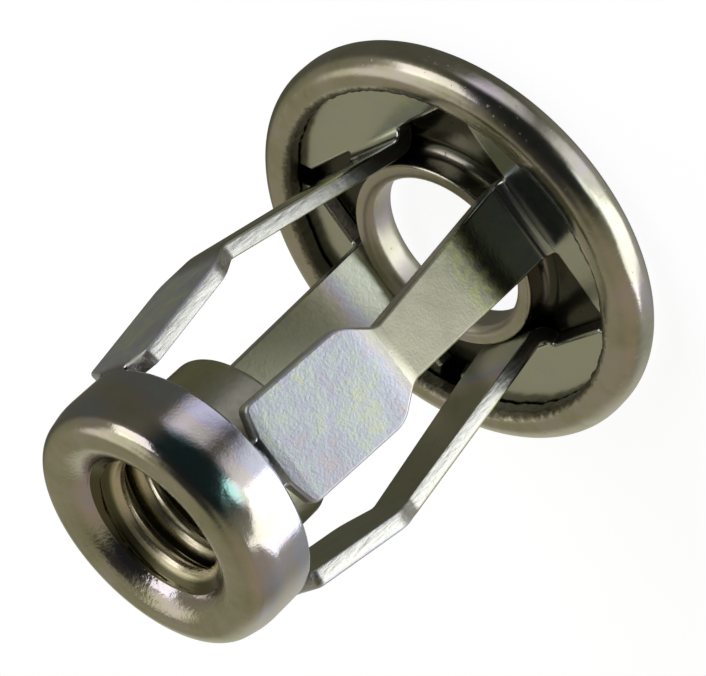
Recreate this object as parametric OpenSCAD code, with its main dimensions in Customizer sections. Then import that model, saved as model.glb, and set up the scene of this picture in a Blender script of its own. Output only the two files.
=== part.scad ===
// Jack nut: a drawn sheet body with a tapped nose and four folding legs, held in a curled flange cap.
// It stands on the flange's outer face with the nose up, centred on Z. Sizes are in millimetres.

/* [Thread] */
// Wall radius of the tapped hole, at the drill size of a quarter inch coarse thread
bore_r = 2.55; // [2.4:0.05:2.7]
// Wall of the inner sleeve outside the tapped hole
sleeve_wall = 1.28; // [1:0.02:1.4]
// Length of the inner sleeve, from the shoulder's height back into the cage
sleeve_len = 5.04; // [4:0.02:6.2]

/* [Nose] */
// Height of the nose over the flange's outer face
nose_z = 20.8; // [19.5:0.02:23]
// Outer radius of the front lip, before its rounding
lip_r = 5.25; // [5.1:0.01:5.35]
// Width of the front lip, from its outer radius in to the funnel
lip_w = 1; // [0.9:0.02:1.1]
// Outer rounding of the front lip
lip_round = 0.8; // [0.7:0.02:0.85]
// Height of the nose over its shoulder, where the collar begins to narrow
lip_h = 1.3; // [1.1:0.05:1.5]
// Slope of the funnel from the lip down to the tapped hole, in degrees
funnel_slope = 38; // [30:1:45]
// Outer radius of the collar that the legs hang from
collar_r = 5.57; // [5.4:0.01:5.8]
// Length of the collar, from its back edge to its shoulder
collar_len = 1.85; // [1.6:0.05:2.1]

/* [Body sheet] */
// Thickness of the sheet that the body is drawn from
body_t = 0.7; // [0.55:0.05:0.8]
// Inside radius of the bend between a leg and its lobe
foot_bend = 0.45; // [0.3:0.05:0.6]
// Inside radius of the bend at the knee
knee_bend = 1; // [0.6:0.1:1.6]

/* [Legs] */
// Radius of a leg's outer face at the flange
foot_r = 5.15; // [5:0.05:5.4]
// Radius of a leg's outer face at the knee
knee_r = 6.62; // [6.2:0.02:6.9]
// Height of the knee over the flange's outer face
knee_z = 11.1; // [10:0.1:12]
// Width of a leg at the flange
foot_w = 3.65; // [3.2:0.05:4.2]
// Width of a leg just under the knee
knee_w = 2.55; // [2.3:0.05:2.9]
// Width of the pad over the knee
pad_w = 4.5; // [4.1:0.05:4.8]
// Width of the neck between a pad and the collar
root_w = 2.05; // [1.7:0.05:2.4]
// Height of the pad's upper taper
taper_h = 1.3; // [1:0.05:1.7]
// Slit between a pad and the collar's back edge
pad_slit = 0.45; // [0.35:0.05:0.6]

/* [Flange] */
// Outer radius of the flange
flange_r = 9.6; // [9.3:0.05:10.2]
// Thickness of the cap's sheet
cap_t = 0.6; // [0.5:0.05:0.7]
// Width of the curl, from the flange's outside in to its sheared edge
curl_w = 1.63; // [1.5:0.01:1.8]
// Rise of the curl's crown over its sheared edge
curl_rise = 0.25; // [0.15:0.05:0.35]
// Gap between the ends of two lobes
lobe_gap = 1; // [0.8:0.05:1.4]
// Height of the eyelet over the flange's outer face
eyelet_h = 1.96; // [1.85:0.02:2.1]
// Thickness of the eyelet at its narrowest, where the clearance hole is
eyelet_wall = 0.81; // [0.7:0.01:0.95]
// Width of the eyelet's flat lip, beside the rounding of its hole
eyelet_lip = 0.33; // [0.25:0.01:0.4]

/* [Fits] */
// Clearance between the lobes and the curl
curl_play = 0.05; // [0.03:0.01:0.1]
// Clearance between the eyelet and the legs
eyelet_play = 0.05; // [0.03:0.01:0.1]

/* [Hidden] */
$fn = 96;
legs = 4;
// The legs stand on the diagonals, so that the windows face along X and Y
first_leg = 45;
// Points on each rounded corner of an outline
arc_steps = 8;
// Heights along the nose
shoulder_z = nose_z - lip_h;
collar_z = shoulder_z - collar_len;
sleeve_z = shoulder_z - sleeve_len;
sleeve_r = bore_r + sleeve_wall;
sleeve_chamfer = 0.15;
// The closed fold over the slot between the sleeve and the collar
fold_t = 0.6;
slot_z = shoulder_z - fold_t;
slot_round = 0.45 * (collar_r - body_t - sleeve_r);
// Roundings of the lip's inner edge and of the shoulder
funnel_round = 0.5;
shoulder_round = 3;
// A leg runs into the collar's wall by this much
root_bite = 0.6;
root_z = collar_z + root_bite;
// Heights on the flange
lobe_top = cap_t + body_t;
rim_h = 2 * cap_t + body_t + curl_play + curl_rise;
// The rim keeps a narrow flat around its outside
rim_flat = 0.35;
rim_round = (rim_h - rim_flat) / 2;
curl_edge_r = flange_r - curl_w;
// The curl comes up from its edge to a narrow flat on the crown
crown_r = curl_edge_r + curl_w / 5;
crown_round = 0.5;
lobe_r = flange_r - rim_round - curl_play;
// A leg's strip runs into its lobe by half the lobe's width
lobe_lap = (lobe_r - foot_r) / 2;
// Rounding of the eyelet's and the curl's edges
edge_round = 0.1;
// The eyelet fits inside the tightest part of the legs' bends
leg_lean = atan((knee_r - foot_r) / (knee_z - lobe_top));
foot_in_r = foot_r + foot_bend * (tan(leg_lean) + 1 / cos(leg_lean)) - foot_bend - body_t;
eyelet_r = foot_in_r - eyelet_play;
eyelet_fillet = foot_r - eyelet_r - eyelet_play;
hole_r = eyelet_r - eyelet_wall;
hole_round = 0.8;
// Corner radii of a leg's outline
taper_in = 1;
taper_out = 1.4;
pad_corner = 0.35;
neck_corner = 0.15;

function unit(v) = v / norm(v);
function left(v) = [-v.y, v.x];

// Corner b of the path a, b, c after the path has moved to its left by t
function shifted(a, b, c, t) =
    let (m = left(unit(b - a)), n = left(unit(c - b)))
    b + t * (m + n) / (1 + m * n);

// Arc of radius r that rounds corner b of the path a, b, c
function fillet(a, b, c, r) =
    let (u = unit(a - b), v = unit(c - b), half = acos(u * v) / 2)
    let (mid = b + unit(u + v) * r / sin(half))
    let (s = b + u * r / tan(half) - mid, e = b + v * r / tan(half) - mid)
    let (from = atan2(s.y, s.x), turn = (atan2(e.y, e.x) - from + 540) % 360 - 180)
    [for (i = [0:arc_steps]) mid + r * [cos(from + turn * i / arc_steps), sin(from + turn * i / arc_steps)]];

// Closed outline through corners given as [x, y, radius]
function rounded(list) =
    let (n = len(list), at = function (i) [list[(i + n) % n].x, list[(i + n) % n].y])
    [for (i = [0:n - 1]) each list[i][2] > 0 ? fillet(at(i - 1), at(i), at(i + 1), list[i][2]) : [at(i)]];

// Section of a leg with its lobe: x is the distance from the axis and y the height
function leg_section() =
    let (end = [foot_r + lobe_lap, lobe_top], foot = [foot_r, lobe_top], knee = [knee_r, knee_z])
    let (root = knee + ([collar_r, collar_z] - knee) * (root_z - knee_z) / (collar_z - knee_z))
    let (foot_in = shifted(end, foot, knee, body_t), knee_in = shifted(foot, knee, root, body_t))
    let (root_in = root + body_t * left(unit(root - knee)))
    rounded([
        [end.x, end.y, 0],
        [foot.x, foot.y, foot_bend],
        [knee.x, knee.y, knee_bend + body_t],
        [root.x, root.y, 0],
        [root_in.x, root_in.y, 0],
        [knee_in.x, knee_in.y, knee_bend],
        [foot_in.x, foot_in.y, foot_bend + body_t],
        [end.x, cap_t, 0]
    ]);

// Half of a leg's outline from the front, from the flange to the collar
function leg_edge(side) = [
    [side * foot_w / 2, 0, 0],
    [side * foot_w / 2, lobe_top + foot_bend, 0],
    [side * knee_w / 2, knee_z, taper_in],
    [side * pad_w / 2, knee_z + taper_h, taper_out],
    [side * pad_w / 2, collar_z - pad_slit, pad_corner],
    [side * root_w / 2, collar_z - pad_slit / 3, neck_corner],
    [side * root_w / 2, root_z, 0]
];
function turned(list) = [for (i = [len(list) - 1:-1:0]) list[i]];

// One leg along X: the bent strip, cut to its outline
module leg() {
    intersection() {
        rotate([90, 0, 0]) linear_extrude(pad_w, center = true) polygon(leg_section());
        rotate([90, 0, 90]) linear_extrude(flange_r) polygon(rounded(concat(leg_edge(1), turned(leg_edge(-1)))));
    }
}

// One lobe along X: a segment of a disc, with its ends cut clear of the next lobes
module lobe() {
    translate([0, 0, cap_t]) linear_extrude(body_t) intersection() {
        circle(r = lobe_r);
        translate([foot_r, -lobe_r]) square([lobe_r, 2 * lobe_r]);
        translate([lobe_gap / sqrt(2), 0]) rotate(-45) square(2 * lobe_r);
    }
}

// Section of the nose: funnel, lip, shoulder, collar and inner sleeve, with the slot of the fold between them
function nose_section() = rounded([
    [bore_r, sleeve_z + sleeve_chamfer, 0],
    [bore_r, nose_z - (lip_r - lip_w - bore_r) * tan(funnel_slope), 0],
    [lip_r - lip_w, nose_z, funnel_round],
    [lip_r, nose_z, lip_round],
    [collar_r, shoulder_z, shoulder_round],
    [collar_r, collar_z, 0],
    [collar_r - body_t, collar_z, 0],
    [collar_r - body_t, slot_z, slot_round],
    [sleeve_r, slot_z, slot_round],
    [sleeve_r, sleeve_z + sleeve_chamfer, 0],
    [sleeve_r - sleeve_chamfer, sleeve_z, 0],
    [bore_r + sleeve_chamfer, sleeve_z, 0]
]);

// The body: one sheet drawn into the nose, slit into legs and bent out into lobes
module nut_body() {
    color([0.74, 0.75, 0.7]) union() {
        rotate_extrude() polygon(nose_section());
        for (i = [0:legs - 1]) rotate(first_leg + i * 360 / legs) {
            leg();
            lobe();
        }
    }
}

// Section of the cap: from the curl's sheared edge around the rim, along the plate and up the eyelet
function cap_section() = rounded([
    [curl_edge_r, rim_h - curl_rise, edge_round],
    [crown_r, rim_h, crown_round],
    [flange_r, rim_h, rim_round],
    [flange_r, 0, rim_round],
    [hole_r, 0, hole_round],
    [hole_r, eyelet_h, eyelet_wall - eyelet_lip],
    [eyelet_r, eyelet_h, edge_round],
    [eyelet_r, cap_t, eyelet_fillet],
    [flange_r - cap_t, cap_t, rim_round - cap_t],
    [flange_r - cap_t, rim_h - cap_t, rim_round - cap_t],
    [crown_r, rim_h - cap_t, crown_round - cap_t / 2],
    [curl_edge_r, rim_h - curl_rise - cap_t, 0]
]);

// The cap: a washer with an eyelet, its rim curled over the lobes
module flange_cap() {
    color([0.62, 0.61, 0.52]) rotate_extrude() polygon(cap_section());
}

nut_body();
flange_cap();
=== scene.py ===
# %% [markdown]
# # A jack nut, rebuilt from its photo
#
# A jack nut is a blind fastener: it goes through a hole in a thin panel, and a screw then draws its
# tapped nose back, so that the four legs fold out behind the panel. The real one is two pieces of
# zinc-plated sheet. The body is drawn to a cup, tapped, slit into legs and bent out into four lobes.
# The cap is a washer with an eyelet, and its rim is curled over the lobes. Each piece is made here in
# the order in which a press shop would make it, in the frame that the solid model gives.

# %% Load the frame
import math

import bmesh
import bpy
import numpy as np
from mathutils import Matrix, Vector, noise


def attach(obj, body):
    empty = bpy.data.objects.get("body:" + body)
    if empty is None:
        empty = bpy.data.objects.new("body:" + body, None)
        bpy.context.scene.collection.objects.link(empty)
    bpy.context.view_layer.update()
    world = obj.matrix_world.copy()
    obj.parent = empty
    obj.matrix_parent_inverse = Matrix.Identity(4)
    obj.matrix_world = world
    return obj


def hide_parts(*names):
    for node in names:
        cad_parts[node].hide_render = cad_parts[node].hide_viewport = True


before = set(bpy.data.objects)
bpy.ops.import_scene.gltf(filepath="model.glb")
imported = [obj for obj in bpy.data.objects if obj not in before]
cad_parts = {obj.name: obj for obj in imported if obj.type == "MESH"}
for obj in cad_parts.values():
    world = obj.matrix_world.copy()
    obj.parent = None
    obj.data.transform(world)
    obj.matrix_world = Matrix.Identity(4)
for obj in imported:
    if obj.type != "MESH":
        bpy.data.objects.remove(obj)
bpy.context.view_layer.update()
MM = 0.001


# %% [markdown]
# ## Outlines
#
# Pressed sheet is straight runs joined by round bends, so every section of the real piece is a path of
# corners with a radius each. Curve objects with handles could draw such paths too. Corners with radii
# are chosen because that is how a drawing of the part gives them, and a change of one radius then
# stays in one place. All outlines are in millimetres. A path turned about the axis gives a grid of
# points, and a grid becomes smooth quads in a bmesh, Blender's mesh in the making.

# %% Arcs and rounded corners
def arc(cx, cy, r, start, end, steps):
    """Points on an arc between two angles in degrees."""
    a = np.radians(np.linspace(start, end, steps + 1))
    return np.column_stack([cx + r * np.cos(a), cy + r * np.sin(a)])


def round_corner(before, at, after, radius, steps):
    """Points of the arc that rounds one corner of a path."""
    a = (before - at) / np.linalg.norm(before - at)
    b = (after - at) / np.linalg.norm(after - at)
    half = math.acos(np.clip(a @ b, -1, 1)) / 2
    mid = at + (a + b) / np.linalg.norm(a + b) * radius / math.sin(half)
    first = at + a * radius / math.tan(half) - mid
    last = at + b * radius / math.tan(half) - mid
    start = math.degrees(math.atan2(first[1], first[0]))
    end = math.degrees(math.atan2(last[1], last[0]))
    turn = (end - start + 180) % 360 - 180
    return arc(*mid, radius, start, start + turn, steps)


def rounded(corners, steps=8, closed=True):
    """Points along a path through corners (x, y, radius)."""
    c = np.array(corners, float)
    out = []
    for i, (x, y, radius) in enumerate(c):
        at = np.array([x, y])
        is_end = not closed and i in (0, len(c) - 1)
        if radius <= 0 or is_end:
            out.append(at[None])
        else:
            out.append(round_corner(c[i - 1, :2], at, c[(i + 1) % len(c), :2], radius, steps))
    return np.vstack(out)


print("one rounded corner takes", len(arc(0, 0, 1, 0, 90, steps=8)), "points")

# %% Paths turned about the axis
TURN = 192


def dense(path, step, closed=False):
    """The same path with no gap between points longer than step."""
    ends = np.vstack([path[1:], path[:1]]) if closed else path[1:]
    out = []
    for p, q in zip(path, ends):
        k = max(1, math.ceil(np.linalg.norm(q - p) / step))
        out += [p + (q - p) * i / k for i in range(k)]
    return np.array(out if closed else out + [path[-1]])


def turned_grid(path, turn=TURN):
    """Points of a path (radius, height) turned about the axis, one row for each angle."""
    a = np.linspace(0, 2 * math.pi, turn, endpoint=False)[:, None]
    r = path[None, :, 0]
    z = np.broadcast_to(path[None, :, 1], (turn, len(path)))
    return np.stack([r * np.cos(a), r * np.sin(a), z], 2)


print("a turn has", TURN, "steps of", 360 / TURN, "degrees")

# %% From grids to pieces
WELD = 0.002 * MM
SHARP = 40


def add_grid(bm, grid, closed_path, slot=0, climb=0):
    """A grid of points that closes round the axis, as smooth quads. It may climb by some points a turn."""
    rows, cols = grid.shape[:2]
    verts = [[bm.verts.new(p * MM) for p in row] for row in grid]
    for i in range(rows):
        a = verts[i]
        b = verts[(i + 1) % rows][climb if i == rows - 1 else 0:]
        for j in range(cols if closed_path else len(b) - 1):
            quad = bm.faces.new((a[j], b[j], b[(j + 1) % cols], a[(j + 1) % cols]))
            quad.material_index = slot
            quad.smooth = True


def finish_mesh(bm, name):
    """Welds the seams, turns the faces outwards and links the piece."""
    bmesh.ops.remove_doubles(bm, verts=bm.verts, dist=WELD)
    bmesh.ops.dissolve_degenerate(bm, edges=bm.edges, dist=WELD)
    bmesh.ops.recalc_face_normals(bm, faces=bm.faces)
    mesh = bpy.data.meshes.new(name)
    bm.to_mesh(mesh)
    bm.free()
    mesh.set_sharp_from_angle(angle=math.radians(SHARP))
    piece = bpy.data.objects.new(name, mesh)
    bpy.context.scene.collection.objects.link(piece)
    print(name, "has", len(mesh.vertices), "points and", len(mesh.polygons), "faces")
    return piece


print("points within", WELD / MM, "mm are welded, and edges over", SHARP, "degrees stay sharp")

# %% [markdown]
# ## The nose
#
# On the real nut the closed end of the cup is pushed back through itself: the sheet rolls over at the
# front into a round lip and goes on inside as a sleeve. Behind the lip the nose widens to the collar,
# from which the legs hang. A cylinder with bevels would give much the same shape, but a turned path
# lets each rounding have its own radius, so the nose is one path from the mouth over the lip to the
# end of the sleeve. The main sizes here and below are those of the solid model.

# %% Sizes of the nose
SHEET = 0.7
NOSE_Z = 20.8
LIP_R = 5.25
LIP_W = 1.0
LIP_ROUND = 0.8
LIP_H = 1.3
FUNNEL_SLOPE = 38
COLLAR_R = 5.57
COLLAR_LEN = 1.85
SHOULDER_ROUND = 3.0
SLEEVE_R = 3.83
SLEEVE_LEN = 5.04
FOLD_T = 0.6
SHOULDER_Z = NOSE_Z - LIP_H
COLLAR_Z = SHOULDER_Z - COLLAR_LEN
SLEEVE_Z = SHOULDER_Z - SLEEVE_LEN
SLOT_ROUND = (COLLAR_R - SHEET - SLEEVE_R) / 2
SLOT_Z = SHOULDER_Z - FOLD_T - SLOT_ROUND
print("collar from", round(COLLAR_Z, 2), "to", round(SHOULDER_Z, 2), "and sleeve from", round(SLEEVE_Z, 2))

# %% Mouth of the funnel
# The funnel bulges a little between the lip and the thread, as rolled sheet does
BORE_R = 2.55
THREAD_R = 3.175
MOUTH_EASE = 0.1
END_EASE = 0.025
MOUTH_R = THREAD_R + MOUTH_EASE
THREAD_END = THREAD_R + END_EASE
FUNNEL_FALL = math.tan(math.radians(FUNNEL_SLOPE))
THREAD_TOP = NOSE_Z - (LIP_R - LIP_W - MOUTH_R) * FUNNEL_FALL
BULGE = 0.275
BULGE_ROUND = 1.4
funnel = np.array([LIP_R - LIP_W - MOUTH_R, NOSE_Z - THREAD_TOP])
across = np.array([-funnel[1], funnel[0]]) / np.linalg.norm(funnel)
bulge = np.array([MOUTH_R, THREAD_TOP]) + funnel / 2 + BULGE * across
print("the mouth opens from radius", MOUTH_R, "at height", round(THREAD_TOP, 2))

# %% Outline of the nose
LIP_IN_ROUND = 1.0
COLLAR_EDGE = 0.14
COLLAR_EDGE_IN = 0.06
SLEEVE_EDGE = 0.2
NOSE_STEP = 0.22
nose_path = dense(rounded([
    (MOUTH_R, THREAD_TOP, 0),
    (*bulge, BULGE_ROUND),
    (LIP_R - LIP_W, NOSE_Z, LIP_IN_ROUND),
    (LIP_R, NOSE_Z, LIP_ROUND),
    (COLLAR_R, SHOULDER_Z, SHOULDER_ROUND),
    (COLLAR_R, COLLAR_Z, COLLAR_EDGE),
    (COLLAR_R - SHEET, COLLAR_Z, COLLAR_EDGE_IN),
    (COLLAR_R - SHEET, SLOT_Z, 0)], steps=16, closed=False), NOSE_STEP)
sleeve_path = rounded([
    (SLEEVE_R, SLOT_Z, 0),
    (SLEEVE_R, SLEEVE_Z, SLEEVE_EDGE),
    (THREAD_END, SLEEVE_Z, 0)], steps=6, closed=False)
slot_path = arc(SLEEVE_R + SLOT_ROUND, SLOT_Z, SLOT_ROUND, 0, 180, steps=10)
inner_path = dense(np.vstack([slot_path, sleeve_path[1:]]), NOSE_STEP)
print("nose outline:", len(nose_path), "points outside and", len(inner_path), "inside")

# %% [markdown]
# ## The thread
#
# The hole of the real nut is tapped after drawing, with a quarter inch coarse thread. A helix could be
# cut with a swept profile and a boolean, which often leaves ragged faces. Here a grid climbs with the
# thread instead, so each row stays on one line of the helix and the crests are clean. Where the funnel
# is wider than the thread, the funnel wins, and the thread runs out on it in an arc.

# %% Profile of one pitch
PITCH = 1.27
FLANK = math.tan(math.radians(60))
CREST = 0.5
SEAM_W = 0.06
SEAM_DEPTH = 0.02


def thread_profile(t):
    """Wall radius at a share t of one pitch: a round crest with a fine seam, straight flanks and a root."""
    d = np.abs((t % 1) - 0.5) * PITCH
    rise = np.hypot(FLANK * d, CREST) - CREST
    seam = np.clip(1 - d / SEAM_W, 0, 1)
    return BORE_R + np.minimum(rise, THREAD_R - BORE_R) + SEAM_DEPTH * seam


print("thread from radius", BORE_R, "to", THREAD_R)

# %% Thread surface
THREAD_ROWS = 26
THREAD_PHASE = 0.95


def thread_grid():
    """Points of the tapped hole, which climb by one pitch in each turn."""
    turns = math.ceil((THREAD_TOP - SLEEVE_Z) / PITCH) + 1
    rows = np.arange(turns * THREAD_ROWS + 1) / THREAD_ROWS
    a = np.linspace(0, 2 * math.pi, TURN, endpoint=False)[:, None]
    share = a / (2 * math.pi)
    z = np.clip(SLEEVE_Z + PITCH * (rows[None] - 1 + share), SLEEVE_Z, THREAD_TOP)
    thread = thread_profile((z - SLEEVE_Z) / PITCH - share + THREAD_PHASE)
    mouth = MOUTH_R - (THREAD_TOP - z) / FUNNEL_FALL
    end = THREAD_END - (z - SLEEVE_Z)
    r = np.maximum(np.maximum(thread, mouth), end)
    return np.stack([r * np.cos(a), r * np.sin(a), z], 2)


bore = thread_grid()
print("thread grid:", bore.shape[:2], "over", round(THREAD_TOP - SLEEVE_Z, 2), "mm")

# %% [markdown]
# ## The legs and lobes
#
# A real leg and its lobe are cut as one strip and then bent. A box could be bent with modifiers, but
# the strip has an outline of its own, so it is made as the press makes it: a flat blank is cut, a bevel
# rolls its edges over a little, cross cuts score it, and every point is then carried to its place on
# the bend line. In the blank, s runs along the leg from the lobe's outer edge to the collar, u runs
# across it, and n stands out from its outer face.

# %% Sizes of the legs
CAP_T = 0.6
FLANGE_R = 9.6
CURL_RISE = 0.25
RIM_FLAT = 0.35
PLAY = 0.05
RIM_H = 2 * CAP_T + SHEET + PLAY + CURL_RISE
RIM_ROUND = (RIM_H - RIM_FLAT) / 2
LOBE_TOP = CAP_T + SHEET
LOBE_R = FLANGE_R - RIM_ROUND - PLAY
LOBE_GAP = 1.0
FOOT_R = 5.15
FOOT_BEND = 0.45
FOOT_W = 3.65
KNEE_R = 6.62
KNEE_Z = 11.1
KNEE_BEND = 1.0
KNEE_W = 2.55
PAD_W = 4.5
TAPER_H = 1.3
NECK_W = 2.05
SLIT = 0.45
ROOT_BITE = 0.6
print("lobes reach radius", round(LOBE_R, 2), "and lie at height", round(LOBE_TOP, 2))

# %% The line along which a leg is bent
TINY = 1e-6
knee = np.array([KNEE_R, KNEE_Z])
neck = np.array([COLLAR_R, COLLAR_Z]) - knee
root = knee + neck * (COLLAR_Z + ROOT_BITE - KNEE_Z) / (COLLAR_Z - KNEE_Z)
bend_line = rounded([
    (LOBE_R, LOBE_TOP, 0),
    (FOOT_R, LOBE_TOP, FOOT_BEND),
    (*knee, KNEE_BEND + SHEET),
    (*root, 0)], steps=24, closed=False)
bend_step = np.diff(bend_line, axis=0)
bend_s = np.concatenate([[0], np.cumsum(np.hypot(*bend_step.T))])
bend_angle = np.unwrap(np.arctan2(bend_step[:, 1], bend_step[:, 0]))
FOOT_S = [s for s, p in zip(bend_s, bend_line) if abs(p[1] - LOBE_TOP) < TINY][-1]
print("leg blank:", round(bend_s[-1], 2), "mm long, foot bend from", round(FOOT_S, 2))

# %% Angles along the bend line
STRAIGHT = 1


def point_angle(i):
    """Angle at one point of the bend line: a straight run's own, or the middle of two short steps."""
    if bend_s[i] - bend_s[i - 1] > STRAIGHT:
        return bend_angle[i - 1]
    if bend_s[i + 1] - bend_s[i] > STRAIGHT:
        return bend_angle[i]
    return (bend_angle[i - 1] + bend_angle[i]) / 2


inner_angles = [point_angle(i) for i in range(1, len(bend_s) - 1)]
point_angles = np.array([bend_angle[0], *inner_angles, bend_angle[-1]])
print("the sheet turns by", round(math.degrees(np.ptp(point_angles))), "degrees in all")

# %% Outline of the flat blank
NECK_CORNER = 0.15
PAD_CORNER = 0.35
TAPER_OUT = 1.4
TAPER_IN = 1.0
FOOT_CORNER = 0.12
LOBE_CORNER = 0.2
CHORD_STEP = 0.12


def at_height(z):
    """Distance along the leg at a height over the foot's bend."""
    over = bend_line[:, 1] > LOBE_TOP + TINY
    return float(np.interp(z, bend_line[over, 1], bend_s[over]))


gap = LOBE_GAP / math.sqrt(2)
chord_s = FOOT_S + CHORD_STEP
half_blank = [
    (bend_s[-1], NECK_W / 2, 0),
    (at_height(COLLAR_Z - SLIT / 3), NECK_W / 2, NECK_CORNER),
    (at_height(COLLAR_Z - SLIT), PAD_W / 2, PAD_CORNER),
    (at_height(KNEE_Z + TAPER_H), PAD_W / 2, TAPER_OUT),
    (at_height(KNEE_Z), KNEE_W / 2, TAPER_IN),
    (chord_s, FOOT_W / 2, FOOT_CORNER),
    (chord_s, LOBE_R - chord_s - gap, LOBE_CORNER)]
tip_x = (gap + math.sqrt(2 * LOBE_R ** 2 - gap ** 2)) / 2
tip = math.degrees(math.atan2(tip_x - gap, tip_x))
lobe_edge = [(LOBE_R - x, u, 0) for x, u in arc(0, 0, LOBE_R, tip, -tip, steps=28)]
other_half = [(s, -u, r) for s, u, r in reversed(half_blank)]
blank = rounded(half_blank + lobe_edge + other_half, steps=7)
print("blank outline:", len(blank), "points")

# %% Cut the blank and roll its edges
EDGE_OUT = 0.13
EDGE_IN = 0.05
SKIN, SHEARED, TAPPED, INSIDE = range(4)


def roll_edge(bm, level, offset):
    """Rounds the blank's outline on its outer or its inner face."""
    rim = [e for e in bm.edges if all(abs(v.co.z - level) < TINY for v in e.verts)]
    bmesh.ops.bevel(
        bm, geom=rim, offset=offset, segments=3, profile=0.5, affect="EDGES", clamp_overlap=False)


def leg_blank():
    """The strip as it is cut, flat, with its outer face up."""
    bm = bmesh.new()
    face = bm.faces.new([bm.verts.new((s, u, 0)) for s, u in blank])
    below = bmesh.ops.extrude_face_region(bm, geom=[face])["geom"]
    moved = [g for g in below if isinstance(g, bmesh.types.BMVert)]
    bmesh.ops.translate(bm, verts=moved, vec=(0, 0, -SHEET))
    bmesh.ops.recalc_face_normals(bm, faces=bm.faces)
    for f in bm.faces:
        f.material_index = SHEARED if abs(f.normal.z) < 0.5 else SKIN if f.normal.z > 0 else INSIDE
    roll_edge(bm, 0, EDGE_OUT)
    roll_edge(bm, -SHEET, EDGE_IN)
    return bm


flat = leg_blank()
print("flat blank:", len(flat.verts), "points,", len(flat.faces), "faces")

# %% Score the blank where it has to bend
LONGEST_CUT = 0.45
SHORTEST_CUT = 0.05
SNAP = 1e-5


def score_places():
    """Places of the cross cuts: close in the bends, wide on the flats."""
    kept = [0.0]
    for s, gap_s in zip(bend_s[:-1], np.diff(bend_s)):
        k = max(1, math.ceil(gap_s / LONGEST_CUT))
        for place in (s + gap_s * j / k for j in range(k)):
            if place - kept[-1] > SHORTEST_CUT:
                kept.append(place)
    return kept[1:]


for s in score_places():
    geom = flat.verts[:] + flat.edges[:] + flat.faces[:]
    bmesh.ops.bisect_plane(flat, geom=geom, dist=SNAP, plane_co=(s, 0, 0), plane_no=(1, 0, 0))
print("scored blank:", len(flat.verts), "points,", len(flat.faces), "faces")

# %% Put the blank's points and faces in order
# The cuts can leave them in another order from run to run, so they are sorted by place
DIGITS = 4


def by_place(place):
    """A key that sorts places in the blank."""
    return tuple(round(x, DIGITS) for x in place)


points = sorted(flat.verts, key=lambda v: by_place(v.co))
number = {v: i for i, v in enumerate(points)}
loops = []
for f in sorted(flat.faces, key=lambda f: by_place(f.calc_center_median())):
    loop = [number[v] for v in f.verts]
    first = loop.index(min(loop))
    loops.append((loop[first:] + loop[:first], f.material_index))
print("first point in the order:", by_place(points[0].co))

# %% Bend the four legs onto the nose
NECK_S = at_height(COLLAR_Z - SLIT)
LEGS = 4
FIRST_LEG = 45


def bent(point, angle):
    """A point (s, u, n) of the blank at its place on the bent leg. The neck takes the collar's roundness."""
    s, u, n = point
    a = np.interp(s, bend_s, point_angles)
    near = np.clip((s - NECK_S) / SLIT, 0, 1)
    n = n - near * near * (3 - 2 * near) * u * u / (2 * COLLAR_R)
    x = np.interp(s, bend_s, bend_line[:, 0]) + n * math.sin(a)
    z = np.interp(s, bend_s, bend_line[:, 1]) - n * math.cos(a)
    return Vector((x * math.cos(angle) - u * math.sin(angle), x * math.sin(angle) + u * math.cos(angle), z))


body_bm = bmesh.new()
add_grid(body_bm, turned_grid(nose_path), closed_path=False, slot=SKIN)
add_grid(body_bm, turned_grid(inner_path), closed_path=False, slot=INSIDE)
add_grid(body_bm, bore, closed_path=False, slot=TAPPED, climb=THREAD_ROWS)
for k in range(LEGS):
    angle = math.radians(FIRST_LEG + k * 360 / LEGS)
    verts = [body_bm.verts.new(bent(v.co, angle) * MM) for v in points]
    for loop, slot in loops:
        copy = body_bm.faces.new([verts[i] for i in loop])
        copy.material_index = slot
        copy.smooth = True
flat.free()
body = finish_mesh(body_bm, "body")

# %% [markdown]
# ## The cap
#
# The real cap is a washer with its middle drawn up into an eyelet and its rim curled over the lobes. A
# disc, a tube and a torus could be joined for it, with seams to hide. It is one sheet and round all
# over, so one turned path is used, as for the nose. Only the curl's end isn't round: it is the edge
# that the shear left, which is never quite even. Two noises move that edge in and out.

# %% Outline of the cap
CURL_W = 1.63
CURL_EDGE = 0.14
CURL_EDGE_IN = 0.04
CROWN_ROUND = 0.9
CROWN_ROUND_IN = 0.2
EYELET_R = 4.473
EYELET_WALL = 0.81
EYELET_H = 1.96
EYELET_LIP = 0.33
EYELET_EDGE = 0.12
HOLE_ROUND = 0.8
CAP_STEP = 0.25
HOLE_R = EYELET_R - EYELET_WALL
CURL_EDGE_R = FLANGE_R - CURL_W
CROWN_R = CURL_EDGE_R + CURL_W / 5
cap_path = dense(rounded([
    (CURL_EDGE_R, RIM_H - CURL_RISE, CURL_EDGE),
    (CROWN_R, RIM_H, CROWN_ROUND),
    (FLANGE_R, RIM_H, RIM_ROUND),
    (FLANGE_R, 0, RIM_ROUND),
    (HOLE_R, 0, HOLE_ROUND),
    (HOLE_R, EYELET_H, EYELET_WALL - EYELET_LIP),
    (EYELET_R, EYELET_H, EYELET_EDGE),
    (EYELET_R, CAP_T, FOOT_R - EYELET_R - PLAY),
    (FLANGE_R - CAP_T, CAP_T, RIM_ROUND - CAP_T),
    (FLANGE_R - CAP_T, RIM_H - CAP_T, RIM_ROUND - CAP_T),
    (CROWN_R, RIM_H - CAP_T, CROWN_ROUND_IN),
    (CURL_EDGE_R, RIM_H - CAP_T - CURL_RISE, CURL_EDGE_IN)], steps=12), CAP_STEP, closed=True)
print("cap outline:", len(cap_path), "points, hole radius", round(HOLE_R, 2))

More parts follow.
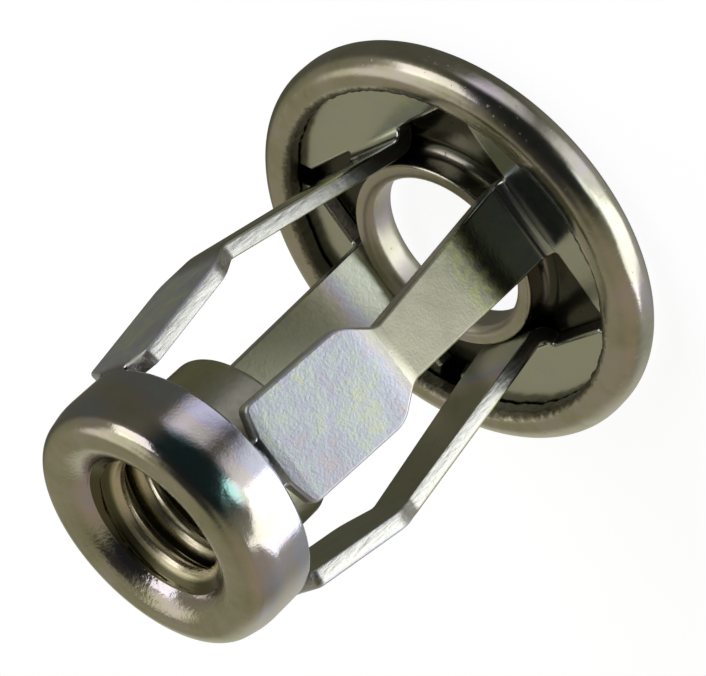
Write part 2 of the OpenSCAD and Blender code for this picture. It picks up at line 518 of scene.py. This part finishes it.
# %% Sheared edge of the curl
CAP_TURN = 360
EDGE_FROM = 8.35
EDGE_OVER = 0.35
EDGE_FLOOR = 1.2
EYELET_CLEAR = 7
WAVE = 0.09
WAVE_SCALE = 7
CHIP = 0.08
CHIP_SCALE = 26


def ragged(grid):
    """Moves the curl's sheared edge in and out, as the shear left it."""
    for row in grid:
        r = np.hypot(row[:, 0], row[:, 1])
        c, d = row[0, :2] / r[0]
        wave = noise.noise((WAVE_SCALE * c, WAVE_SCALE * d, 1)) * WAVE
        chip = noise.noise((CHIP_SCALE * c, CHIP_SCALE * d, 5)) * CHIP
        near = np.clip((EDGE_FROM - r) / EDGE_OVER, 0, 1) * (row[:, 2] > EDGE_FLOOR) * (r > EYELET_CLEAR)
        row[:, :2] *= (1 + near * (wave + chip) / r)[:, None]
    return grid


cap_bm = bmesh.new()
add_grid(cap_bm, ragged(turned_grid(cap_path, CAP_TURN)), closed_path=True)
cap = finish_mesh(cap_bm, "cap")

# %% [markdown]
# ## Writing finishes as sums
#
# A finish is mostly arithmetic on places and noises. It could be wired node by node, which hides what
# the sums say. So one small class wraps a socket, and sums and products of sockets are written as such.
# Numbers go through Math nodes. Colours and places go through Vector Math and Mix nodes, because a Math
# node would turn a colour grey. Every other node is made by one method.

# %% A socket that can be added and multiplied
def set_stops(elements, stops):
    """Fills a ramp, which begins with one stop at either end, with stops (place, colour)."""
    for at, colour in stops[1:-1]:
        elements.new(at)
    for element, (at, colour) in zip(elements, stops):
        element.position = at
        element.color = (*colour, 1)


class Wire:
    """A node's output, for sums and products that add their own nodes to its tree."""

    def __init__(self, tree, socket=None):
        self.tree = tree
        self.socket = socket

    def node(self, kind, out=0, inputs=None, stops=(), **settings):
        """A node of that kind: its settings, then its sockets' values or links. Gives one output."""
        made = self.tree.nodes.new("ShaderNode" + kind)
        for name, value in settings.items():
            setattr(made, name, value)
        if stops:
            set_stops(made.color_ramp.elements, stops)
        for name, value in (inputs or {}).items():
            self.plug(value, made.inputs[name])
        return Wire(self.tree, made.outputs[out])

    def plug(self, value, socket):
        """Links a wire to a socket, or sets the socket to a number or a colour."""
        if isinstance(value, Wire):
            self.tree.links.new(value.socket, socket)
        elif hasattr(value, "__len__"):
            size = len(socket.default_value)
            socket.default_value = tuple(value) if len(value) == size else (*value, 1)
        elif hasattr(socket.default_value, "__len__"):
            socket.default_value = (value,) * len(socket.default_value)
        else:
            socket.default_value = value

    def maths(self, operation, *values):
        """The result of an operation on wires, numbers and colours."""
        tuples = [v for v in values if isinstance(v, tuple)]
        vectors = [v for v in values if isinstance(v, Wire) and v.socket.type != "VALUE"]
        kind = "VectorMath" if tuples or vectors else "Math"
        return self.node(kind, inputs=dict(enumerate(values)), operation=operation)

    def __add__(self, other):
        return self.maths("ADD", self, other)

    def __radd__(self, other):
        return self.maths("ADD", other, self)

    def __sub__(self, other):
        return self.maths("SUBTRACT", self, other)

    def __rsub__(self, other):
        return self.maths("SUBTRACT", other, self)

    def __mul__(self, other):
        return self.maths("MULTIPLY", self, other)

    def __rmul__(self, other):
        return self.maths("MULTIPLY", other, self)

    def __truediv__(self, other):
        return self.maths("DIVIDE", self, other)

    def __rtruediv__(self, other):
        return self.maths("DIVIDE", other, self)

    def __pow__(self, other):
        return self.maths("POWER", self, other)

    def __rpow__(self, other):
        return self.maths("POWER", other, self)

    def rise(self, low, high):
        """A smooth step from 0 at low to 1 at high. With low over high it falls instead."""
        ends = {"Value": self, "From Min": min(low, high), "From Max": max(low, high)}
        step = self.node("MapRange", inputs=ends, interpolation_type="SMOOTHSTEP")
        return 1 - step if low > high else step

    def band(self, start, full, fade, end):
        """1 between full and fade, falling to 0 at start and end."""
        return self.rise(start, full) * self.rise(end, fade)

    def mix(self, low, high):
        """Colour low where this is 0 and high where it is 1."""
        return self.node("Mix", 2, {0: self, 6: low, 7: high}, data_type="RGBA")

    def noise(self, scale, detail):
        """A noise around 0.5 at this place, with features of about 1 / scale."""
        return self.node("TexNoise", inputs={"Vector": self, "Scale": scale, "Detail": detail})

    def part(self, axis):
        """One part, X, Y or Z, of a place."""
        return self.node("SeparateXYZ", axis, {0: self})


print("a wire takes", [name for name in vars(Wire) if name.startswith("__r")], "too")

# %% Start and end of every finish
def new_material(name, metallic=1):
    """A material, the place on its surface in millimetres, and its shader's sockets."""
    material = bpy.data.materials.new(name)
    material.use_nodes = True
    tree = material.node_tree
    shader = tree.nodes["Principled BSDF"].inputs
    shader["Metallic"].default_value = metallic
    return material, Wire(tree).node("TexCoord", "Object") * (1 / MM), shader


def from_axis(place):
    """Distance of a place from the nut's axis."""
    x = place.part("X")
    y = place.part("Y")
    return (x * x + y * y) ** 0.5


def dress(shader, colour, gloss, relief):
    """Gives a shader its colour, its roughness, and its relief in millimetres."""
    relief.plug(colour, shader["Base Color"])
    relief.plug(gloss, shader["Roughness"])
    bump = relief.node("Bump", inputs={"Strength": 1.0, "Distance": MM, "Height": relief})
    relief.plug(bump, shader["Normal"])


def wear(piece, material):
    """Gives a piece its next finish. They come in the order of the slots that its faces name."""
    piece.data.materials.append(material)
    print(piece.name, "wears", material.name, "of", len(material.node_tree.nodes), "nodes")


print("finishes measure places in steps of", MM, "m")

# %% [markdown]
# ## Zinc
#
# The plating is bright zinc under a thin clear film. Where the film's thickness varies, the white metal
# takes on a breath of olive, gold, rose, lavender or blue, as an oil film does. Thin film settings on
# the shader could do that, but an export would lose them. So one number, the film, picks a tint from
# a ramp, and the place on the piece and a few noises set that number.

# %% The film's tints
FILM = (
    (0.00, (0.50, 0.50, 0.38)),
    (0.22, (0.61, 0.60, 0.47)),
    (0.40, (0.70, 0.66, 0.58)),
    (0.55, (0.72, 0.65, 0.67)),
    (0.70, (0.66, 0.66, 0.78)),
    (0.85, (0.69, 0.74, 0.78)),
    (1.00, (0.76, 0.79, 0.68)))


def film_colour(film):
    """The tint that a film of this thickness gives to zinc."""
    return film.node("ValToRGB", inputs={0: film}, stops=FILM)


print("the film has", len(FILM), "tints")

# %% [markdown]
# ## Outside of the body
#
# On the real nut each zone of the body looks its own way. The pads are satin with mottled tints, the
# legs are olive, painted shade darkens the leg over the foot's bend with a green fringe above it, the
# lobes shine, and the nose is the brightest, with a touch of teal on one side. Each zone could be a
# material, but their borders are soft, so one material fades from zone to zone by height over the flange.

# %% Zones of the body, as the heights where each starts, is full, fades and ends
PAD_ZONE = (KNEE_Z + 0.1, KNEE_Z + TAPER_H, COLLAR_Z - SLIT, COLLAR_Z - 0.05)
LEG_ZONE = (2.6, 4.2, KNEE_Z - 0.3, KNEE_Z + 0.9)
# The leg over the foot's bend is darkened by painted shade in this zone
PAINTED_SHADE_ZONE = (1.74, 1.86, 4.2, 5.4)
FRINGE_ZONE = (4.2, 4.9, 5.4, 6.8)
TEAL_ZONE = (19.2, 19.7, 20.2, 20.6)
print("pads from", round(PAD_ZONE[0], 2), "to", round(PAD_ZONE[3], 2))

# %% Ends of the body, as the heights or radii where each starts and is full
LOBE_END = (LOBE_TOP + 0.2, LOBE_TOP + 0.05)
CONE_END = (18.3, 18.7)
LIP_END = (NOSE_Z - 0.6, NOSE_Z - 0.1)
MOUTH_END = (18.8, 19.2)
MOUTH_RING = (4.6, 4.2)
SATIN_END = (4.4, 5.6)
print("lip from", round(LIP_END[0], 2), "and mouth within", MOUTH_RING[0])

# %% Skin of the body
# Painted shade: over the foot's bend the leg's colour is darkened towards this colour
PAINTED_FOOT_SHADE = (0.17, 0.22, 0.24)
PAINTED_SHADE_SHARE = 0.8
FRINGE = (0.66, 0.72, 0.34)
FRINGE_EDGE = (-0.12, 0.12)
TEAL = (0.42, 0.72, 0.70)
TEAL_SIDE = (-0.47, -0.88)
TEAL_EDGE = (0.91, 0.98)


def zinc_skin():
    """Zinc on the outside of the body, zone by zone."""
    material, place, shader = new_material("zinc_skin")
    z = place.part("Z")
    r = from_axis(place)
    broad = place.noise(0.55, 3)
    fine = place.noise(2.6, 3)
    grain = place.noise(7.0, 2)
    pad = z.band(*PAD_ZONE)
    leg = z.band(*LEG_ZONE)
    fringe = z.band(*FRINGE_ZONE)
    lobe = z.rise(*LOBE_END)
    cone = z.rise(*CONE_END)
    lip = z.rise(*LIP_END)
    # The film of each zone, then its blotches: broad on the pads and the nose, fine on the pads
    film = 0.72 + pad * 0.08 - leg * 0.62 + lobe * 0.26 - cone * 0.18 - lip * 0.28
    film = film + (broad - 0.5) * (0.5 - lobe * 0.3 + pad * 0.55 + cone * 0.5)
    film = film + (fine - 0.5) * (0.2 + pad * 0.45)
    film = film + (grain - 0.3) * fringe * 0.6 + (grain - 0.5) * 0.1
    # Over the film lie painted shade over the foot's bend, the green fringe in patches, and the touch of
    # teal
    with_painted_shade = (z.band(*PAINTED_SHADE_ZONE) * PAINTED_SHADE_SHARE).mix(film_colour(film), PAINTED_FOOT_SHADE)
    green = fringe * (fine - 0.5 + (grain - 0.5) * 0.6).rise(*FRINGE_EDGE)
    side = (place.part("X") * TEAL_SIDE[0] + place.part("Y") * TEAL_SIDE[1]) / r
    teal = z.band(*TEAL_ZONE) * side.rise(*TEAL_EDGE)
    colour = teal.mix(green.mix(with_painted_shade, FRINGE), TEAL) * (1 + pad * 0.22)
    # The pads and the upper legs are satin, and the lobes and the nose shine
    gloss = 0.14 + pad * 0.34 + leg * z.rise(*SATIN_END) * 0.22 + lobe * 0.07 + (fine - 0.5) * 0.10
    peel = place.noise(4.5, 2) * pad * 0.009 + place.noise(9.0, 2) * (0.003 + pad * 0.005 + leg * 0.004)
    mouth = r.rise(*MOUTH_RING) * z.rise(*MOUTH_END)
    dress(shader, colour, gloss, peel + broad * 0.02 + place.noise(6.5, 3) * mouth * 0.016)
    return material


wear(body, zinc_skin())

# %% [markdown]
# ## Edges, thread and inside of the body
#
# The sheared sides of the real legs are pale, with streaks along the cut, and painted shade darkens them
# near the foot. In the thread the tap has burnished the crests and left fine marks along the helix; the
# crests are lightened partly by the burnish and partly by painted highlight, and painted shade darkens
# the grooves. The back of the sheet is dull and olive, and a painted highlight lightens it towards the
# foot. One material with more zones could hold them all, but their borders are hard edges, so each is a
# short material of its own, on the face slot that it got in the making.

# %% Sheared sides of the legs
STREAK = (6.0, 6.0, 1.2)
STREAK_DARK = (0.68, 0.67, 0.63)
STREAK_PALE = (0.94, 0.93, 0.90)
SHADE_END = (3.6, 5.2)


def sheared():
    """Bare sides of the sheet, streaked by the shear, and darkened near the foot by painted shade."""
    material, place, shader = new_material("sheared")
    # Painted shade: the sides are darkened towards the foot
    shade = 0.3 + place.part("Z").rise(*SHADE_END) * 0.7
    streak = (place * STREAK).noise(1.0, 3)
    colour = streak.mix(STREAK_DARK, STREAK_PALE) * shade
    dress(shader, colour, 0.30 + streak * 0.16, streak * 0.03 + place.noise(3.0, 3) * 0.02)
    return material


wear(body, sheared())

# %% Thread
CREST_RING = (2.95, 2.75)
CREST_TINT_AND_HIGHLIGHT = (1.35, 1.32, 1.2)
# Painted shade: the grooves are darkened towards this colour
PAINTED_GROOVE_SHADE = (0.17, 0.16, 0.10)
MARKS = 9.0


def tapped():
    """Burnished crests, lightened partly by painted highlight, and grooves darkened by painted shade."""
    material, place, shader = new_material("tapped")
    r = from_axis(place)
    broad = place.noise(0.9, 3)
    fine = place.noise(5.0, 2)
    # Places that are equal along the helix, so that the marks follow it
    angle = place.maths("ARCTAN2", place.part("Y"), place.part("X"))
    across = place.part("Z") - angle * (PITCH / (2 * math.pi))
    marks = place.node("CombineXYZ", inputs={0: r * MARKS, 1: across * MARKS}).noise(1.0, 2)
    crest = r.rise(*CREST_RING)
    film = 0.12 + crest * 0.25 + (broad - 0.5) * 0.4 + (fine - 0.5) * 0.2
    # Painted shade makes the grooves dark; the crests' lighter tint is partly burnish and partly painted
    # highlight
    colour = crest.mix(PAINTED_GROOVE_SHADE, film_colour(film) * CREST_TINT_AND_HIGHLIGHT)
    gloss = 0.20 + crest * 0.06 + (fine - 0.5) * 0.08
    dress(shader, colour, gloss, marks * (0.01 + crest * 0.02) + fine * 0.004)
    return material


wear(body, tapped())

# %% Back of the sheet
PAINTED_HIGHLIGHT_END = (5.2, 3.0)


def inner_skin():
    """Dull zinc on the back of the sheet, lightened towards the foot by painted highlight."""
    material, place, shader = new_material("inner_skin")
    broad = place.noise(0.7, 3)
    fine = place.noise(4.0, 3)
    # Painted highlight: the back of the sheet is lightened towards the foot
    bright = place.part("Z").rise(*PAINTED_HIGHLIGHT_END)
    film = 0.12 + bright * 0.9 + (broad - 0.5) * 0.3 + (fine - 0.5) * 0.3
    colour = film_colour(film) * (1 + bright * 0.2)
    dress(shader, colour, 0.38 + (fine - 0.5) * 0.2, fine * 0.006 + place.noise(8.0, 2) * 0.004)
    return material


wear(body, inner_skin())

# %% [markdown]
# ## Finish of the cap
#
# The real cap is drawn from other sheet, and its film is warmer and blotchier than the body's. The end
# of its curl is bare, dark and grainy where it was sheared, and the trough inside, where the lobes lie,
# is darkened by painted shade. A few pits show on the rim. Painted masks could mark these places, but
# they follow from the distance to the axis and from the height, so the material works them out.

# %% Zones of the cap, as heights and as radii
TROUGH_ZONE = (0.4, 0.5, 1.1, 1.5)
TROUGH_RING = (4.5, 4.7, 8.9, 9.1)
BARE_END = (1.25, 1.35)
BARE_RING = (7.6, 7.8)
BARE_EDGE = (8.34, 8.06)
EYELET_RING = (4.5, 4.2)
print("the curl is bare to about radius", BARE_EDGE[1])

# %% Skin of the cap
BARE = (0.20, 0.19, 0.15)
# Painted shade: the trough under the lobes is darkened towards this colour
PAINTED_TROUGH_SHADE = (0.10, 0.10, 0.08)
GRIT = 0.35
PIT = (0.66, 0.74)


def cap_skin():
    """Zinc on the cap, with its bare edge and painted shade in its trough."""
    material, place, shader = new_material("cap_skin")
    z = place.part("Z")
    r = from_axis(place)
    broad = place.noise(0.45, 3)
    fine = place.noise(2.2, 3)
    pits = place.noise(3.4, 3).rise(*PIT)
    # Grit makes the border of the bare edge uneven
    grit = (place.noise(4.5, 4) - 0.5) * GRIT
    bare = (r + grit).rise(*BARE_EDGE) * r.rise(*BARE_RING) * z.rise(*BARE_END)
    trough = z.band(*TROUGH_ZONE) * r.band(*TROUGH_RING)
    film = 0.36 + (broad - 0.5) + (fine - 0.5) * 0.4
    # Painted shade darkens the trough under the lobes
    colour = trough.mix(bare.mix(film_colour(film), BARE), PAINTED_TROUGH_SHADE)
    gloss = 0.20 + (fine - 0.5) * 0.08 + bare * 0.3 + pits * 0.2 + r.rise(*EYELET_RING) * 0.16
    relief = place.noise(6.0, 4) * bare * 0.06 + broad * 0.03 + fine * 0.005 - pits * 0.004
    dress(shader, colour, gloss, relief)
    return material


wear(cap, cap_skin())

# %% [markdown]
# ## Into the frame
#
# The two real pieces are curled fast, so both ride on the one body of the part, and each stands for one
# of its solids. A flat of pressed sheet reflects as a flat right up to its rolled edge, but smooth
# shading bends it there. Hard edges would stop that and lose the rolled look, so a Weighted Normal
# modifier lets the large faces lead.

# %% Ride on the frame
for piece, node, slot in ((body, "nut_body", "zinc_body"), (cap, "flange_cap", "zinc_cap")):
    piece.modifiers.new("even normals", "WEIGHTED_NORMAL").keep_sharp = True
    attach(piece, "root")
    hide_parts(node)
    print(piece.name, "stands for", node)

# %% [markdown]
# ## Camera
#
# The camera stands where a pinhole camera fitted to the photo stands: in front of one leg, over the
# flange, and rolled so that the nose points to the lower left. A camera could also be turned by hand
# until the picture fits, but a fitted one lets the two pictures be laid over each other.

# %% Camera at the photo's place
EYE = Vector((-45.4296, -72.8138, 63.4238))
AIM = Vector((0.0447, -0.0279, 7.8305))
ROLL = math.radians(-133.3767)
FOCAL_PX = 2550.58
PHOTO_W = 706
SENSOR = 36
NEAREST = 0.005
ahead = (AIM - EYE).normalized()
level = ahead.cross(Vector((0, 0, 1))).normalized()
right = level * math.cos(ROLL) + level.cross(ahead) * math.sin(ROLL)
up = right.cross(ahead)
camera = bpy.data.objects.new("camera", bpy.data.cameras.new("camera"))
bpy.context.scene.collection.objects.link(camera)
camera.matrix_world = Matrix.Translation(EYE * MM) @ Matrix((right, up, -ahead)).transposed().to_4x4()
camera.data.sensor_width = SENSOR
camera.data.lens = FOCAL_PX * SENSOR / PHOTO_W
camera.data.clip_start = NEAREST
bpy.context.scene.camera = camera
print("camera", round((EYE - AIM).length), "mm away, lens", round(camera.data.lens, 1), "mm")

# %% [markdown]
# ## Windows
#
# Bright metal shows what stands round it, so the light is read off the photo's reflections: the rim and
# the nose both mirror a window to the left of the camera and a larger one to the right. Glowing planes
# could stand in for them, but area lights give less noise and leave no mesh in the scene. Each is
# placed by its angle from the camera and its turn in the picture, because that is how a reflection
# gives it, and its power follows from its size, so that it shines as bright as a surface would.

# %% Lights, as seen from the camera
CENTRE = Vector((0, 0, 0.009))
LIGHT_D = 0.4


def toward(angle, turn):
    """Direction at an angle from the camera, turned from the right over the top."""
    a = math.radians(angle)
    t = math.radians(turn)
    return (right * math.cos(t) + up * math.sin(t)) * math.sin(a) - ahead * math.cos(a)


def window(name, angle, turn, wide, tall, glow, colour):
    """A soft light that covers wide by tall degrees and shines as bright as glow."""
    data = bpy.data.lights.new(name, "AREA")
    data.shape = "RECTANGLE"
    data.size = 2 * LIGHT_D * math.tan(math.radians(wide / 2))
    data.size_y = 2 * LIGHT_D * math.tan(math.radians(tall / 2))
    data.energy = glow * math.pi * data.size * data.size_y
    data.color = colour
    light = bpy.data.objects.new(name, data)
    bpy.context.scene.collection.objects.link(light)
    back = toward(angle, turn)
    side = up.cross(back).normalized()
    turned = Matrix((side, back.cross(side), back)).transposed().to_4x4()
    light.matrix_world = Matrix.Translation(CENTRE + back * LIGHT_D) @ turned
    print(name, "of", round(data.size, 2), "by", round(data.size_y, 2), "m")


window("left_window", angle=59, turn=150, wide=32, tall=34, glow=1.25, colour=(1.0, 0.97, 0.97))
window("right_window", angle=81, turn=-5, wide=38, tall=44, glow=1.3, colour=(1.0, 1.0, 1.0))

# %% [markdown]
# ## Room
#
# Between the windows the photo's metal shows a dim warm room with a few paler and darker places. An
# image of a room could give that, but soft patches in the world are enough for such small curved
# mirrors, and each can be moved to where the photo shows it. The white behind the nut is only what the
# camera itself sees: the metal in the photo doesn't show it, so reflections keep the room.

# %% Patches, as angle and turn, the angles where each has faded and is full, and its colour
PATCHES = {
    "right": (105, 0, 65, 10, (0.34, 0.34, 0.31)),
    "lower right": (80, 290, 50, 10, (0.29, 0.245, 0.18)),
    "lower left": (107, 225, 55, 15, (0.27, 0.25, 0.18)),
    "far below": (150, 278, 44, 8, (0.5, 0.5, 0.41)),
    "pale right": (70, 26, 28, 10, (0.85, 0.86, 0.87)),
    "pale top": (70, 77, 22, 6, (0.75, 0.73, 0.82)),
    "pale left": (70, 180, 22, 6, (0.75, 0.72, 0.62)),
    "pale lower left": (88, 195, 20, 5, (0.75, 0.72, 0.60)),
    "dark lower left": (40, 223, 28, 8, (0.03, 0.028, 0.026)),
    "dark behind the camera": (18, 85, 58, 32, (0.012, 0.013, 0.013)),
    "small lamp": (52, 17, 13, 5, (1.2, 1.33, 1.27))}
print("patches:", ", ".join(PATCHES))

# %% The room's world
BELOW = (0.085, 0.085, 0.065)
ABOVE = (0.20, 0.19, 0.13)
HORIZON = (-0.15, 0.25)
WHITE = (1, 1, 1)
world = bpy.data.worlds.new("room")
bpy.context.scene.world = world
world.use_nodes = True
look = Wire(world.node_tree).node("TexCoord", "Generated")


def facing(direction):
    """Cosine of the angle between where a ray goes and a direction."""
    return look.node("VectorMath", "Value", {0: look, 1: tuple(direction)}, operation="DOT_PRODUCT")


room = facing((0, 0, 1)).rise(*HORIZON).mix(BELOW, ABOVE)
for angle, turn, faded, full, colour in PATCHES.values():
    edges = (math.cos(math.radians(d)) for d in (faded, full))
    room = facing(toward(angle, turn)).rise(*edges).mix(room, colour)
seen = look.node("LightPath", "Is Camera Ray")
look.plug(seen.mix(room, WHITE), world.node_tree.nodes["Background"].inputs["Color"])
print("room with", len(PATCHES), "patches")

# %% [markdown]
# ## Floor
#
# The nut stands on a pale floor. A matt floor in this dim room would be grey, and more light would
# spoil the metal, so part of its white is its own glow and the rest is matt, which keeps a faint
# shadow. One window stands lower than the floor, so the floor lets light and reflections pass.

# %% Floor
FLOOR_R = 0.6
FLOOR_DROP = 0.00002
FLOOR_COLOUR = (0.74, 0.78, 0.96)
GLOW = 2.87
GLOW_SHARE = 0.3
bpy.ops.mesh.primitive_circle_add(vertices=96, radius=FLOOR_R, fill_type="NGON")
floor = bpy.context.object
floor.name = "floor"
floor.location.z = -FLOOR_DROP
floor.visible_glossy = False
floor.visible_shadow = False
floor.visible_diffuse = False
material, place, shader = new_material("floor", metallic=0)
place.plug(FLOOR_COLOUR, shader["Base Color"])
place.plug(1.0, shader["Roughness"])
place.plug(0.0, shader["Specular IOR Level"])
nodes = material.node_tree.nodes
matt = Wire(material.node_tree, nodes["Principled BSDF"].outputs[0])
glow = place.node("Emission", inputs={"Color": WHITE, "Strength": GLOW})
pale = place.node("MixShader", inputs={0: GLOW_SHARE, 1: matt, 2: glow})
place.plug(pale, nodes["Material Output"].inputs["Surface"])
wear(floor, material)

# %% [markdown]
# ## View
#
# The picture is shown with the Standard view transform.

# %% Standard view
bpy.context.scene.view_settings.view_transform = "Standard"
